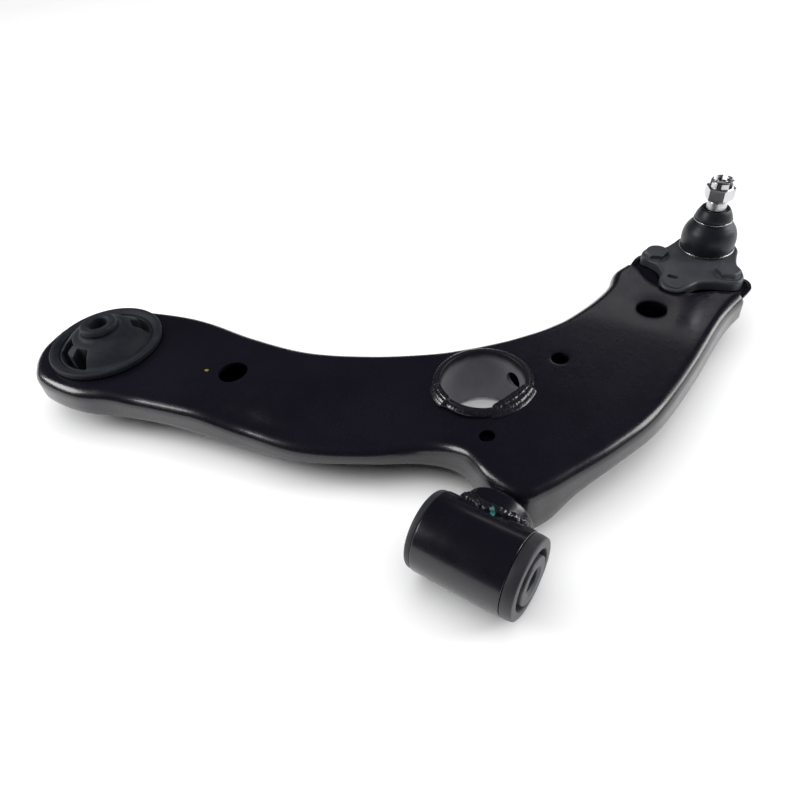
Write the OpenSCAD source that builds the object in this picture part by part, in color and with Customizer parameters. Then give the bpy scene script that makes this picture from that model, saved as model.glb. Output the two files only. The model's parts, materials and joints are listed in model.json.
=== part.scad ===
// Front lower suspension control arm, left-hand side.
// Origin: centre of the front bush bore. +X runs along the front bush axis towards the
// front of the vehicle, +Y outboard towards the ball joint, +Z up. Millimetres.

/* [Arm shells] */
// Thickness of the stamped steel sheet
sheet_t = 3; // [2:0.5:4]
// Outer bend radius between the top surface and the skirt
bend_r = 8; // [6:0.5:9]
// Outer bend radius between the floor and the wall of the lower shell
lower_bend_r = 4.5; // [4:0.5:6]
// Gap left between two nested or welded steel pieces
seat_gap = 0.2; // [0.1:0.05:0.3]
// How far the lower shell's wall reaches up inside the upper skirt
shell_overlap = 6; // [4:1:8]
// Steps between two given cross-sections of the arm
section_steps = 2; // [1:1:4]

/* [Centre tube] */
// Bore radius of the tube through the arm
tube_bore_r = 28.9; // [26:0.1:30]
// Outer radius of that tube
tube_outer_r = 32; // [31:0.1:33]
// Lowest point of the tube
tube_bottom_z = -26; // [-30:0.5:-24]
// Highest point of the tube
tube_top_z = 19.5; // [18:0.5:22]
// Radius of the vent hole in the tube's wall
vent_r = 7; // [4:0.5:8]

/* [Front bush] */
// Outer radius of the painted housing
housing_r = 25.5; // [25:0.1:27]
// Half of the housing's length
housing_half = 28; // [24:1:32]
// Radius of the pressed-in outer sleeve
front_sleeve_outer_r = 22; // [21:0.1:22.5]
// Radius of the hole for the mounting bolts, both bushes
bolt_bore_r = 7.25; // [6.25:0.25:8.25]
// Outer radius of the front inner sleeve
front_inner_r = 14.8; // [12:0.1:16]
// Front end of the inner sleeve
front_sleeve_x1 = 36.5; // [34:0.5:40]
// Rear end of the inner sleeve
front_sleeve_x0 = -34; // [-40:0.5:-33]

/* [Rear bush] */
// Radius of the flange of the rear bush
flange_r = 43.7; // [42:0.1:44]
// Height of the top of that flange
flange_top_z = 20; // [18:0.5:22]
// Outer radius of the body below the flange
rear_body_r = 39; // [37:0.5:40]
// Top of the rear inner sleeve
rear_sleeve_z1 = 37; // [36:0.5:42]
// Bottom of the rear inner sleeve
rear_sleeve_z0 = -20; // [-26:0.5:-18]
// Radius of the wide head of that sleeve
rear_head_r = 14; // [12.5:0.5:15]

/* [Ball joint] */
// Radius of the ball
ball_r = 14; // [13:0.5:15]
// Height of the ball's centre
ball_z = 5; // [3:0.5:7]
// Height of the plate's top surface
plate_top_z = 20; // [19:0.5:21]
// Thickness of the forged plate
plate_t = 8.8; // [8:0.2:9]
// Outer radius of the ball cup
cup_r = 20.5; // [20:0.1:21.5]
// Radius of the stud's neck
neck_r = 6.2; // [5.5:0.1:6.5]
// Large radius of the stud's taper
taper_r1 = 8.6; // [8:0.1:9]
// Small radius of the stud's taper
taper_r0 = 7.25; // [6.5:0.05:7.5]
// Radius of the thread on the stud
thread_r = 5.9; // [5:0.1:6]
// Width across the flats of the castle nut
nut_flats = 19; // [17:1:22]
// Radius of the bolts through the plate's ears
ear_bolt_r = 5; // [4:0.5:6]

/* [Hidden] */
$fn = 72;

// Places in plan
tube_pos = [-57.3, 112.5];
rear_pos = [-340.5, 11.2];
ball_pos = [24.5, 338.2];
ear_left = [-7, 312];
ear_right = [49.5, 309];
// Scallop in the end of the upper shell, round the plate's nose
scallop_pos = [16, 308];
scallop_r = 34;

// Cross-sections of the arm from its rear end to the ball joint: [far edge, near edge], each
// edge as [x, y, height of the skirt's lower rim]
cap_pos = [-345, 8];
cap_r = 52.5;
cap_rim_z = -5;
CAP_SECTIONS = [for (a = [5, 30, 54, 78]) [for (s = [1, -1])
    [cap_pos.x - cap_r * cos(a), cap_pos.y + s * cap_r * sin(a), cap_rim_z]]];
ARM_SECTIONS = [
    [[-318, 71, -5], [-318, -40.5, -5]], [[-286, 76, -6], [-286, -27, -7]],
    [[-240, 77, -7], [-246, -16, -6]], [[-190, 83, -8], [-190, -4, -9]],
    [[-145, 101, -8], [-139, 4, -5]], [[-106, 125, -8], [-94, 25, -3.5]],
    [[-86, 142, -8], [-64, 47, -8.5]], [[-76, 152, -8], [-39, 51, -8]],
    [[-66, 163, -8], [-16, 40.5, -10]], [[-59, 172, -8], [10, 37, -15]],
    [[-51, 183, -8], [21, 50, -16]], [[-45, 193, -8], [31, 71, -5]],
    [[-38, 208, -8], [44, 101, -0.5]], [[-31, 235, -8], [56, 141, -1.5]],
    [[-28, 262, -6], [61, 200, -5]], [[-31, 284, -4], [63, 262, -6]],
    [[-27, 300, -3], [68, 292, -5]]];
// Past the upper shell's end the lower one runs on as the seat of the ball joint's plate
upper_end_y = 293;
SEAT_SECTIONS = [[[-26, 311, -3], [69, 308, -5]], [[-24, 325, -3], [66, 325, -5]]];
SECTIONS = concat(CAP_SECTIONS, ARM_SECTIONS, SEAT_SECTIONS);

// Heights over the plan: the box is deepest round the tube and thins towards both ends
rear_taper_x = -140;
outer_taper_y = 204;
function ease(t) = let (u = max(0, min(1, t))) u * u * (3 - 2 * u);
function top_z(p) = 17 - 2.5 * ease((rear_taper_x - p.x) / 150) - 2 * ease((p.y - outer_taper_y) / 70);
function floor_z(p) = -22 + 11 * ease((rear_taper_x - p.x) / 200)
    + 30 * ease((p.y - 235) / 78) - 3 * ease((p.y - 321) / 4);
// How far the top falls towards the near edge behind the neck, below its crease
crease = 0.42;
function shoulder_drop(p) = p.y > 62 ? 0 :
    (3 * ease((p.x + 300) / 30) + 6 * ease((p.x + 225) / 45)) * ease((-20 - p.x) / 50);
// Height of the top where it meets the bend
function edge_z(p) = top_z(p) - shoulder_drop(p);

function reversed(list) = [for (i = [len(list) - 1:-1:0]) list[i]];
function pick(list, i) = list[max(0, min(len(list) - 1, i))];
function spline(a, b, c, d, t) =
    0.5 * (2 * b + (c - a) * t + (2 * a - 5 * b + 4 * c - d) * t * t
           + (3 * b - a - 3 * c + d) * t * t * t);
// Point on one edge at position u, which counts sections
function edge_point(side, u) =
    let (i = min(floor(u), len(SECTIONS) - 2), t = u - i)
    spline(pick(SECTIONS, i - 1)[side], pick(SECTIONS, i)[side], pick(SECTIONS, i + 1)[side],
           pick(SECTIONS, i + 2)[side], t);
// Closed outline in plan: up the far edge, back down the near edge
STATIONS = [for (i = [0:(len(SECTIONS) - 1) * section_steps]) i / section_steps];
EDGE = concat([for (u = STATIONS) edge_point(0, u)], [for (u = reversed(STATIONS)) edge_point(1, u)]);
COUNT = len(EDGE);
OUTLINE = [for (p = EDGE) [p.x, p.y]];
RIM = [for (p = EDGE) p.z];
// Unit normals that point out of it
function unit(v) = v / norm(v);
NORMALS = [for (i = [0:COUNT - 1])
    let (p = OUTLINE[i], a = OUTLINE[(i + COUNT - 1) % COUNT], b = OUTLINE[(i + 1) % COUNT],
         d = unit(unit(b - p) + unit(p - a)))
    [-d.y, d.x]];

// A profile is the sheet's cross-section at one outline point: a list of [inset, height] or
// [inset, height, part of the way across to the opposite edge]
function profile_point(i, q) =
    let (p = OUTLINE[i] - q[0] * NORMALS[i], j = COUNT - 1 - i, o = OUTLINE[j] - q[0] * NORMALS[j],
         flat = len(q) > 2 ? p + q[2] * (o - p) : p)
    [flat.x, flat.y, q[1]];

function side_faces(a, b) = [for (i = [0:COUNT - 1]) let (j = (i + 1) % COUNT)
    each [[a * COUNT + i, b * COUNT + j, a * COUNT + j],
          [a * COUNT + i, b * COUNT + i, b * COUNT + j]]];
// Faces that span the outline from the far edge to the near edge
function span_faces(r, up) = let (h = COUNT / 2) [for (i = [0:h - 2])
    let (a = r * COUNT + i, b = a + 1, c = r * COUNT + COUNT - 2 - i, d = c + 1)
    each (up ? [[a, b, c], [a, c, d]] : [[a, c, b], [a, d, c]])];

// Solid that follows the outline with one profile for each of its points
module outline_solid(profiles, capped) {
    last = len(profiles[0]) - 1;
    polyhedron(
        points = [for (k = [0:last]) for (i = [0:COUNT - 1]) profile_point(i, profiles[i][k])],
        faces = concat(
            [for (k = [0:last - 1]) each side_faces(k, k + 1)],
            capped ? concat(span_faces(0, true), span_faces(last, false)) : side_faces(last, 0)),
        convexity = 8);
}

// Upper shell: crease, shoulder, bend and skirt outside, and the same again inside
BEND = [90, 60, 30, 0];
crown_inset = bend_r + 1.5;
function upper_profile(i) =
    let (p = OUTLINE[i], top = top_z(p), edge = edge_z(p), rim = RIM[i], q = bend_r - sheet_t,
         across = p.y < 62 && i >= COUNT / 2 ? crease : 0.1)
    concat(
        [[crown_inset, top, across]],
        [for (a = BEND) [bend_r * (1 - cos(a)), edge - bend_r * (1 - sin(a))]],
        [[0, rim], [sheet_t, rim]],
        [for (a = reversed(BEND)) [bend_r - q * cos(a), edge - bend_r + q * sin(a)]],
        [[crown_inset, top - sheet_t, across]]);
// Lower shell: floor, bend, a wall that leans in at 45 degrees below the skirt's rim, and an
// upright part that reaches up inside the skirt
LEAN = [90, 68, 45];
lean_cos = cos(45);
function lower_profile(i) =
    let (p = OUTLINE[i], low = floor_z(p), rim = RIM[i], r = lower_bend_r, q = r - sheet_t,
         inset = sheet_t + seat_gap, rise = r * (1 - lean_cos), splay = max(1.2, rim - 1 - low - rise),
         centre = inset + r * lean_cos + splay,
         wall = max(min(rim + shell_overlap, edge_z(p) - bend_r - seat_gap), low + r + 0.3))
    concat(
        [for (a = LEAN) [centre - q * cos(a), low + r - q * sin(a)]],
        [[inset + sheet_t, low + rise + splay + 0.3 + sheet_t * (1 / lean_cos - 1)]],
        [[inset + sheet_t, wall], [inset, wall], [inset, low + rise + splay + 0.3]],
        [for (a = reversed(LEAN)) [centre - r * cos(a), low + r * (1 - sin(a))]]);

module at_xy(p) {
    translate([p.x, p.y, 0]) children();
}
module drill(p, r) {
    at_xy(p) translate([0, 0, -60]) cylinder(r = r, h = 120);
}
// Tube or ring about Z between two heights
module ring(r0, r1, z0, z1) {
    rotate_extrude() translate([r0, z0]) square([r1 - r0, z1 - z0]);
}
// Turns a shape about Z into one about X, with its height running along +X
module along_x() {
    rotate([0, 90, 0]) children();
}

// Mouth in the skirts through which the neck enters the arm
neck_centre = [-1, -3];
neck_inner_r = 15;
neck_end_y = 62;
mouth_from = 28;
module along_y(at) {
    translate([at.x, 0, at.y]) rotate([-90, 0, 0]) children();
}
module neck_mouth(r, depth) {
    along_y(neck_centre) translate([0, 0, mouth_from]) linear_extrude(neck_end_y + 0.5 - mouth_from) {
        circle(r = r);
        translate([-r, 0]) square([2 * r, depth]);
    }
}
tooling_holes = [[[-224.7, 36.5], 11], [[13.3, 244.5], 11], [[-21.7, 158.9], 6.2], [[-30.5, 69.8], 5.2]];

module upper_shell() {
    color("#1b1a22") difference() {
        outline_solid([for (i = [0:COUNT - 1]) upper_profile(i)], true);
        drill(tube_pos, tube_outer_r + seat_gap);
        drill(rear_pos, rear_body_r + seat_gap);
        for (h = tooling_holes) drill(h[0], h[1]);
        drill(scallop_pos, scallop_r);
        translate([-60, upper_end_y, -60]) cube([160, 40, 120]);
        neck_mouth(neck_inner_r + seat_gap, 40);
    }
}

// Flat seats pressed into the floor for the nuts of the two ear bolts
nut_seat_z = 8;
nut_seat_r = 10;
module lower_shell() {
    color("#201f27") difference() {
        union() {
            outline_solid([for (i = [0:COUNT - 1]) lower_profile(i)], true);
            for (e = [ear_left, ear_right])
                at_xy(e) translate([0, 0, nut_seat_z]) cylinder(r = nut_seat_r + 0.8, h = sheet_t);
        }
        for (e = [ear_left, ear_right])
            at_xy(e) translate([0, 0, nut_seat_z - 20]) cylinder(r = nut_seat_r, h = 20);
        drill(tube_pos, tube_outer_r + seat_gap);
        drill(rear_pos, rear_body_r + seat_gap);
        drill(ball_pos, cup_r + 1);
        for (e = [ear_left, ear_right]) drill(e, ear_bolt_r + seat_gap);
        neck_mouth(neck_inner_r + seat_gap, 1);
    }
}

module seam_weld() {
    top = -seat_gap / 2;
    inner = sheet_t + seat_gap / 2;
    leg = 2.2;
    color("#24232a") difference() {
        intersection() {
            outline_solid([for (i = [0:COUNT - 1])
                [[0.6, RIM[i] + top], [inner, RIM[i] + top - leg], [inner, RIM[i] + top]]], false);
            translate([-420, -80, -60]) cube([520, 348, 120]);
        }
        neck_mouth(neck_inner_r + 4, 40);
    }
}

module centre_tube() {
    color("#2a2a30") difference() {
        at_xy(tube_pos) ring(tube_bore_r, tube_outer_r, tube_bottom_z, tube_top_z);
        at_xy(tube_pos) rotate([0, 0, 69]) translate([20, 0, 0]) along_x() cylinder(r = vent_r, h = 20);
    }
}

// Fillet bead round the tube, from its wall out to the shell's surface
module tube_bead(z, rise, spread) {
    at_xy(tube_pos) rotate_extrude()
        polygon([[tube_outer_r, z], [tube_outer_r + spread, z], [tube_outer_r + spread * 0.6, z + rise * 0.7],
                 [tube_outer_r, z + rise]]);
}
module centre_tube_upper_weld() {
    color("#30303a") tube_bead(17 + seat_gap / 2, 2.2, 3.6);
}
module centre_tube_lower_weld() {
    color("#30303a") tube_bead(-22 - seat_gap / 2, -2.2, 3.6);
}

// Barrel stub along Y, coped onto the housing at one end and closed inside the arm
neck_barrel_r = 22.5;
neck_shoulder_y = 33;
module front_neck() {
    color("#1b1a22") difference() {
        along_y(neck_centre) rotate_extrude() polygon([
            [0, 10], [neck_barrel_r, 10], [neck_barrel_r, neck_shoulder_y - 1.5],
            [neck_barrel_r - 1.5, neck_shoulder_y], [neck_inner_r, neck_shoulder_y],
            [neck_inner_r, neck_end_y], [0, neck_end_y]]);
        along_x() translate([0, 0, -60]) cylinder(r = housing_r + seat_gap, h = 120);
        along_y(neck_centre) cylinder(r = 12, h = 58);
    }
}
// Bead where the barrel meets the housing
module neck_housing_weld() {
    color("#2c2b33") difference() {
        intersection() {
            along_y(neck_centre) cylinder(r = neck_barrel_r + 3.2, h = neck_shoulder_y - 2);
            along_x() translate([0, 0, -40]) cylinder(r = housing_r + 3.4, h = 80);
        }
        along_x() translate([0, 0, -60]) cylinder(r = housing_r + seat_gap, h = 120);
        along_y(neck_centre) cylinder(r = neck_barrel_r + seat_gap, h = 60);
    }
}
// Bead where the narrow end of the stub sits in the arm's mouth
module neck_arm_weld() {
    color("#2c2b33") along_y(neck_centre) rotate_extrude()
        polygon([[neck_inner_r + seat_gap, neck_shoulder_y + seat_gap], [neck_inner_r + 4, neck_shoulder_y + seat_gap],
                 [neck_inner_r + seat_gap, neck_shoulder_y + 3]]);
}
module front_bush_housing() {
    color("#17161e") along_x() ring(front_sleeve_outer_r, housing_r, -housing_half, housing_half);
}
module front_bush_outer_sleeve() {
    color("#3a3a40") along_x() ring(front_sleeve_outer_r - 2, front_sleeve_outer_r, -housing_half, housing_half);
}
// Rubber between the sleeves, with a lip over each end of the housing and a groove in each face
module front_bush_rubber() {
    lip_r = housing_r - 0.6;
    color("#2b2c30") along_x() rotate_extrude() polygon([
        [front_inner_r, -24], [18.5, -24], [18.5, -32.5], [lip_r, -32.5], [lip_r, -housing_half - 0.1],
        [front_sleeve_outer_r - 2, -housing_half - 0.1], [front_sleeve_outer_r - 2, housing_half + 0.1],
        [lip_r, housing_half + 0.1], [lip_r, 35.5], [18.5, 35.5], [18.5, 24], [front_inner_r, 24]]);
}
module front_bush_inner_sleeve() {
    color("#4a4b50") along_x() ring(bolt_bore_r, front_inner_r, front_sleeve_x0, front_sleeve_x1);
}

module rear_bush_outer_ring() {
    color("#34363d") at_xy(rear_pos) rotate_extrude() polygon([
        [rear_body_r - 3, -15], [rear_body_r, -15], [rear_body_r, 15], [flange_r - 0.6, 15], [flange_r - 0.6, 17.5],
        [flange_r, 17.5], [flange_r, flange_top_z - 1], [flange_r - 1, flange_top_z],
        [rear_body_r - 1, flange_top_z], [rear_body_r - 3, flange_top_z - 2]]);
}
// Part of a ring about Z, centred on an angle
module sector(r0, r1, mid_angle, half_span) {
    rotate([0, 0, mid_angle - half_span]) rotate_extrude(angle = 2 * half_span)
        translate([r0, -40]) square([r1 - r0, 90]);
}
// Kidney-shaped void that runs through the rubber, with a stop lobe in its middle
module kidney(mid_angle) {
    difference() {
        sector(23, 34, mid_angle, 34);
        sector(21, 29.5, mid_angle, 9);
    }
}
module rear_bush_rubber() {
    inner_r = 11;
    color("#3c4048") at_xy(rear_pos) difference() {
        rotate_extrude() polygon([
            [inner_r, -18], [20, -15], [rear_body_r - 3, -8], [rear_body_r - 3, flange_top_z - 2.2],
            [31, 21.5], [26, 26], [20, 29.5], [inner_r, 31]]);
        for (a = [82, 262]) kidney(a);
    }
}
module rear_bush_inner_sleeve() {
    color("#4d5058") at_xy(rear_pos) rotate_extrude() polygon([
        [bolt_bore_r, rear_sleeve_z0], [11, rear_sleeve_z0], [11, rear_sleeve_z1 - 6],
        [rear_head_r, rear_sleeve_z1 - 4.5],
        [rear_head_r, rear_sleeve_z1 - 1], [rear_head_r - 1, rear_sleeve_z1], [bolt_bore_r, rear_sleeve_z1]]);
}

// Plate outline: the round body, two ears and the nose, each a disc joined by a straight web
module web(p, q, wp, wq) {
    d = (q - p) / norm(q - p);
    s = [-d.y, d.x];
    polygon([p + wp * s, q + wq * s, q - wq * s, p - wp * s]);
}
nose_pos = [17, 284.5];
module plate_outline() {
    translate(ball_pos) circle(r = 25);
    for (e = [ear_left, ear_right]) {
        translate(e) circle(r = 11);
        web(e, ball_pos, 11, 24);
    }
    translate(nose_pos) circle(r = 12);
    web(nose_pos, ball_pos, 12, 24);
    polygon([ear_left, ear_right, [30, 288], [4, 288]]);
}
// The nose thins so that its tip laps over the upper shell's edge
module nose_relief() {
    lap_z = 15 + seat_gap;
    difference() {
        translate([-10, 260, 0]) cube([60, 36, lap_z]);
        drill(scallop_pos, scallop_r - 0.6);
    }
}
module ball_joint_housing() {
    notch_left = [-9, 292];
    notch_right = [44, 284];
    color("#3d4242") difference() {
        union() {
            translate([0, 0, plate_top_z - plate_t]) linear_extrude(plate_t) plate_outline();
            at_xy(ball_pos) translate([0, 0, -14]) cylinder(r = cup_r, h = plate_top_z + 15.5);
        }
        at_xy(ball_pos) translate([0, 0, -15]) cylinder(r = 16.6, h = 29);
        at_xy(ball_pos) translate([0, 0, 13.9]) cylinder(r1 = 12.6, r2 = 16.2, h = 8);
        for (e = [ear_left, ear_right]) drill(e, ear_bolt_r + seat_gap);
        at_xy(notch_left) cylinder(r = 10.5, h = 40);
        at_xy(notch_right) cylinder(r = 13, h = 40);
        nose_relief();
        for (dx = [-1.5, 1.5]) drill([14.5 + dx, 286.3], 2.6);
    }
}
// Ball and its seat share one centre; the seat stops below the ball's shoulder
module ball_seat() {
    color("#d8d4c4") at_xy(ball_pos) difference() {
        translate([0, 0, -9.8]) cylinder(r = 16.5, h = 23);
        translate([0, 0, ball_z]) sphere(r = ball_r + 0.05);
        translate([0, 0, 12.6]) cylinder(r = 12, h = 2);
    }
}
module ball_joint_end_cap() {
    color("#3d4242") at_xy(ball_pos) translate([0, 0, -13.5]) cylinder(r = 16.4, h = 3.5);
}
nut_base_z = 64;
nut_height = 15;
module ball_stud() {
    color("#c9ccd0") at_xy(ball_pos) union() {
        intersection() {
            translate([0, 0, ball_z]) sphere(r = ball_r);
            translate([0, 0, ball_z - 12]) cylinder(r = ball_r + 1, h = 40);
        }
        rotate_extrude() polygon([
            [0, ball_z], [neck_r, ball_z], [neck_r, 24], [taper_r1, 41], [taper_r0, 62.5],
            [thread_r, 63.2], [thread_r, 76], [thread_r - 1, 77], [0, 77]]);
    }
}
// Rubber boot: a bulb over the cup, a waist for the ring and a collar on the stud's taper
module dust_boot() {
    color("#2f3238") at_xy(ball_pos) rotate_extrude() polygon([
        [17.2, 21.7], [19.4, 21.7], [20, 25], [20.6, 30], [20.2, 35], [18.5, 40], [15.4, 44.5], [13.6, 46],
        [12.9, 47], [13.6, 48], [13, 50], [11.5, 53], [10, 56], [8.4, 56], [8.6, 47], [12, 45], [15.8, 40],
        [17.8, 35], [18.2, 30], [17.6, 25]]);
}
module boot_lower_ring() {
    color("#8d9096") at_xy(ball_pos) rotate_extrude() translate([20.4, 22.4]) circle(r = 0.7, $fn = 24);
}
module boot_upper_ring() {
    color("#60636a") at_xy(ball_pos) rotate_extrude() translate([14.1, 47]) circle(r = 0.6, $fn = 24);
}
module castle_nut() {
    crown_z = nut_height - 5.5;
    color("#d5d7d9") at_xy(ball_pos) translate([0, 0, nut_base_z]) difference() {
        union() {
            intersection() {
                cylinder(r = nut_flats / sqrt(3), h = crown_z, $fn = 6);
                cylinder(r1 = nut_flats / 2 + 0.4, r2 = nut_flats / 2 + 1.6, h = crown_z);
            }
            cylinder(r = 8.6, h = nut_height);
        }
        translate([0, 0, -1]) cylinder(r = thread_r + 0.03, h = nut_height + 2);
        for (a = [0, 60, 120]) rotate([0, 0, a + 30])
            translate([-15, -1.7, crown_z + 0.3]) cube([30, 3.4, 10]);
    }
}
module ball_joint_bolts() {
    color("#4a4f50") for (e = [ear_left, ear_right]) at_xy(e) {
        translate([0, 0, -3.5]) cylinder(r = ear_bolt_r, h = plate_top_z + 3.6);
        translate([0, 0, plate_top_z + 0.05]) cylinder(r = 8.8, h = 4.2, $fn = 6);
    }
}
module ball_joint_nuts() {
    color("#4a4f50") for (e = [ear_left, ear_right]) at_xy(e) difference() {
        translate([0, 0, -0.3]) cylinder(r = 9, h = 8, $fn = 6);
        translate([0, 0, -2]) cylinder(r = ear_bolt_r + 0.03, h = 12);
    }
}

upper_shell();
lower_shell();
seam_weld();
centre_tube();
centre_tube_upper_weld();
centre_tube_lower_weld();
front_neck();
neck_housing_weld();
neck_arm_weld();
front_bush_housing();
front_bush_outer_sleeve();
front_bush_rubber();
front_bush_inner_sleeve();
rear_bush_outer_ring();
rear_bush_rubber();
rear_bush_inner_sleeve();
ball_joint_housing();
ball_seat();
ball_stud();
ball_joint_end_cap();
dust_boot();
boot_lower_ring();
boot_upper_ring();
castle_nut();
ball_joint_bolts();
ball_joint_nuts();
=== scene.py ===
import json
from math import copysign, cos, hypot, pi, radians, sin, sqrt, tan

import bmesh
import bpy
import numpy as np
from mathutils import Matrix, Vector, geometry, kdtree, noise

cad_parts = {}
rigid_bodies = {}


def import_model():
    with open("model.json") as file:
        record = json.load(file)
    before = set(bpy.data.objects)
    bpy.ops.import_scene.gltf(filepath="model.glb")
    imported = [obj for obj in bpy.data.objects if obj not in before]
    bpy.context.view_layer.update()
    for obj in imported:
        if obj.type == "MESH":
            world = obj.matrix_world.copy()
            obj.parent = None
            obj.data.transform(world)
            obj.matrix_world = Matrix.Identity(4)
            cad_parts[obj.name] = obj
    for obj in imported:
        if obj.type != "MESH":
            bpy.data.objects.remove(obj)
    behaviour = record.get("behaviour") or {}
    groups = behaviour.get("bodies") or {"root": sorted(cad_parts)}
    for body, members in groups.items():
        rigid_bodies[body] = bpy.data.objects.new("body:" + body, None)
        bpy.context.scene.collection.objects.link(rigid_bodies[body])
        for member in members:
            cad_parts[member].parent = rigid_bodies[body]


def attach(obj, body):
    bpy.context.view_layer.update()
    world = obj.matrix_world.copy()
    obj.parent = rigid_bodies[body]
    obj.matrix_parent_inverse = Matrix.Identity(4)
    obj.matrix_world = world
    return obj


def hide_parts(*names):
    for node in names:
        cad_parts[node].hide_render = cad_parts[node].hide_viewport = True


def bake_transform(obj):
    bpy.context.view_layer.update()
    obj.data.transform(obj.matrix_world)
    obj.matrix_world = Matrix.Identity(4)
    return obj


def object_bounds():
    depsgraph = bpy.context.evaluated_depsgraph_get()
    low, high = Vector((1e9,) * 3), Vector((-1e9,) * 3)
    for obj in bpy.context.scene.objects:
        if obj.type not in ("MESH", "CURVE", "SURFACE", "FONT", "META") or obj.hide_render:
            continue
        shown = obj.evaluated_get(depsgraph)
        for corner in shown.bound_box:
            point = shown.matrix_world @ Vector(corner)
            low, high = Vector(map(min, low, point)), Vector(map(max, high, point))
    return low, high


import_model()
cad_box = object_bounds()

# Lengths below are in millimetres, in the CAD frame; meshes are made in metres.
MM = 0.001
# Turned outlines that reach their axis stop this far from it
AXIS_R = 0.001

# ---------------------------------------------------------------- places and sizes
TUBE = (-57.3, 112.5)
REAR = (-340.5, 11.2)
BALL = (24.5, 338.2)
EARS = ((-7.0, 312.0), (49.5, 309.0))
SHEET = 3.0
SEAT_GAP = 0.2
# How far the lower shell's wall reaches up inside the skirt
LAP = 6
BEND = 8.0
LOWER_BEND = 4.5
TUBE_BORE = 28.9
TUBE_OUTER = 32.0
# The hole in the tube's side: radius, and direction in degrees from +X
VENT_R, VENT_TURN = 7, 69
REAR_HOLE_R = 39.2
HOUSING_R = 25.5
HOUSING_HALF = 28.0
BOLT_BORE = 7.25
FRONT_INNER_R = 14.8
PLATE_TOP = 20.0
# Radius within which the lower shell makes way for the ball joint's cup
CUP_HOLE_R = 21.8
BOLT_HOLE_R = 5.4
# Where the ball's seat and the end cap meet the housing
SOCKET_R = 16.4
# The stud's ball: radius, and height of its centre
BALL_R, BALL_Z = 14, 5
# Across the flats of the two bolts' heads and nuts
EAR_FLATS = 16.0

# Each edge point is (x, y, height of the skirt's lower rim): far edge first, then near edge.
CAP_CENTRE, CAP_R, CAP_RIM = (-345.0, 8.0), 52.5, -5.0


def cap_point(angle, side):
    a = radians(angle)
    return (CAP_CENTRE[0] - CAP_R * cos(a), CAP_CENTRE[1] + side * CAP_R * sin(a), CAP_RIM)


CAP = [(cap_point(a, 1), cap_point(a, -1)) for a in (5, 30, 54, 78)]
ARM = [
    [(-318, 71, -5), (-318, -40.5, -5)], [(-286, 76, -6), (-286, -27, -7)],
    [(-240, 77, -7), (-246, -16, -6)], [(-190, 83, -8), (-190, -4, -9)],
    [(-145, 101, -8), (-139, 4, -5)], [(-106, 125, -8), (-94, 25, -3.5)],
    [(-86, 142, -8), (-64, 47, -8.5)], [(-76, 152, -8), (-39, 51, -8)],
    [(-66, 163, -8), (-16, 40.5, -10)], [(-59, 172, -8), (10, 37, -15)],
    [(-51, 183, -8), (21, 50, -16)], [(-45, 193, -8), (31, 71, -5)],
    [(-38, 208, -8), (44, 101, -0.5)], [(-31, 235, -8), (56, 141, -1.5)],
    [(-28, 262, -6), (61, 200, -5)], [(-31, 284, -4), (63, 262, -6)],
    [(-27, 300, -3), (68, 292, -5)]]
SEAT = [[(-26, 311, -3), (72, 308, -5)], [(-24, 325, -3), (69, 322, -5)]]
SECTIONS = np.array(CAP + ARM + SEAT, float)


def ease(t):
    t = min(max(t, 0.0), 1.0)
    return t * t * (3 - 2 * t)


def top_z(x, y):
    return 17 - 2.5 * ease((-140 - x) / 150) - 2 * ease((y - 204) / 70)


def floor_z(x, y):
    return -22 + 11 * ease((-140 - x) / 200) + 30 * ease((y - 235) / 78) - 3 * ease((y - 321) / 4)


def shoulder_drop(x, y):
    """How far the top falls towards the near edge behind the neck."""
    if y > 62:
        return 0.0
    return (3 * ease((x + 300) / 30) + 6 * ease((x + 225) / 45)) * ease((-20 - x) / 50)


# ---------------------------------------------------------------- mesh helpers
def link(name, data):
    obj = bpy.data.objects.new(name, data)
    bpy.context.scene.collection.objects.link(obj)
    return obj


def from_bmesh(name, work):
    mesh = bpy.data.meshes.new(name)
    work.to_mesh(mesh)
    work.free()
    return link(name, mesh)


def make_object(name, points, faces, merge=0.0):
    """Object from points in millimetres; merge joins points closer than that."""
    mesh = bpy.data.meshes.new(name)
    mesh.from_pydata([(x * MM, y * MM, z * MM) for x, y, z in points], [], faces)
    work = bmesh.new()
    work.from_mesh(mesh)
    if merge:
        bmesh.ops.remove_doubles(work, verts=work.verts, dist=merge * MM)
        bmesh.ops.dissolve_degenerate(work, edges=work.edges, dist=1e-7)
    bmesh.ops.recalc_face_normals(work, faces=work.faces)
    work.to_mesh(mesh)
    work.free()
    return link(name, mesh)


def apply_modifiers(obj):
    graph = bpy.context.evaluated_depsgraph_get()
    mesh = bpy.data.meshes.new_from_object(obj.evaluated_get(graph))
    obj.modifiers.clear()
    obj.data = mesh
    return obj


def smooth(obj, angle=35):
    obj.data.shade_smooth()
    obj.data.set_sharp_from_angle(angle=radians(angle))
    return obj


def modify(obj, kind, **settings):
    modifier = obj.modifiers.new(kind.lower(), kind)
    for key, value in settings.items():
        setattr(modifier, key, value)
    return apply_modifiers(obj)


def bevel(obj, width, angle):
    return modify(obj, "BEVEL", width=width * MM, segments=2, limit_method="ANGLE",
                  angle_limit=radians(angle), harden_normals=False)


def cut(obj, tool, operation="DIFFERENCE"):
    modify(obj, "BOOLEAN", object=tool, operation=operation, solver="EXACT")
    bpy.data.objects.remove(tool)
    return obj


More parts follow.
